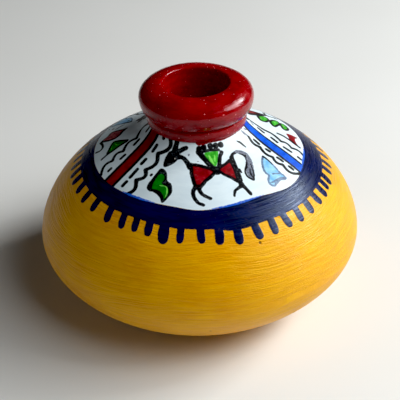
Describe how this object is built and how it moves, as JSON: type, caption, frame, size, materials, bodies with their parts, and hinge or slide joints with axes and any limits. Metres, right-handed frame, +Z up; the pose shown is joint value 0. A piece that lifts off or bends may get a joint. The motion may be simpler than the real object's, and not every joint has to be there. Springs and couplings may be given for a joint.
{
  "type": "diya oil lamp",
  "caption": "Squat painted clay oil lamp with a rounded belly, a folk-painted shoulder, a fat rolled neck rim and a lift-out brass wick burner in the throat.",
  "frame": {"origin": "middle of the flat foot, on the surface that the lamp stands on", "axes": "+Z up along the turning axis; -Y is the front, towards the painted horned animal"},
  "size_m": [0.12, 0.12, 0.0871],
  "materials": {
    "yellow_clay": "satin varnish over brushed turmeric yellow on terracotta",
    "painted_shoulder": "satin varnish over a white ground with a navy band and folk figures",
    "red_clay": "gloss varnish over crimson on terracotta",
    "burner_brass": "spun brass, lightly sooted",
    "wick_cotton": "twisted cotton with a charred tip"
  },
  "bodies": {
    "vessel": {"lower_bowl": "yellow_clay", "shoulder_dome": "painted_shoulder", "neck_collar": "red_clay", "rolled_rim": "red_clay"},
    "burner": {"drip_cup": "burner_brass", "wick_tube": "burner_brass", "lock_ring": "burner_brass"},
    "wick": {"cotton_wick": "wick_cotton"}
  },
  "joints": [
    {"name": "burner_lift", "type": "slide", "parent": "vessel", "child": "burner", "axis": [0, 0, 1], "range_m": [0, 0.085]},
    {"name": "wick_feed", "type": "slide", "parent": "burner", "child": "wick", "axis": [0, 0, 1], "range_m": [-0.002, 0.006]}
  ]
}
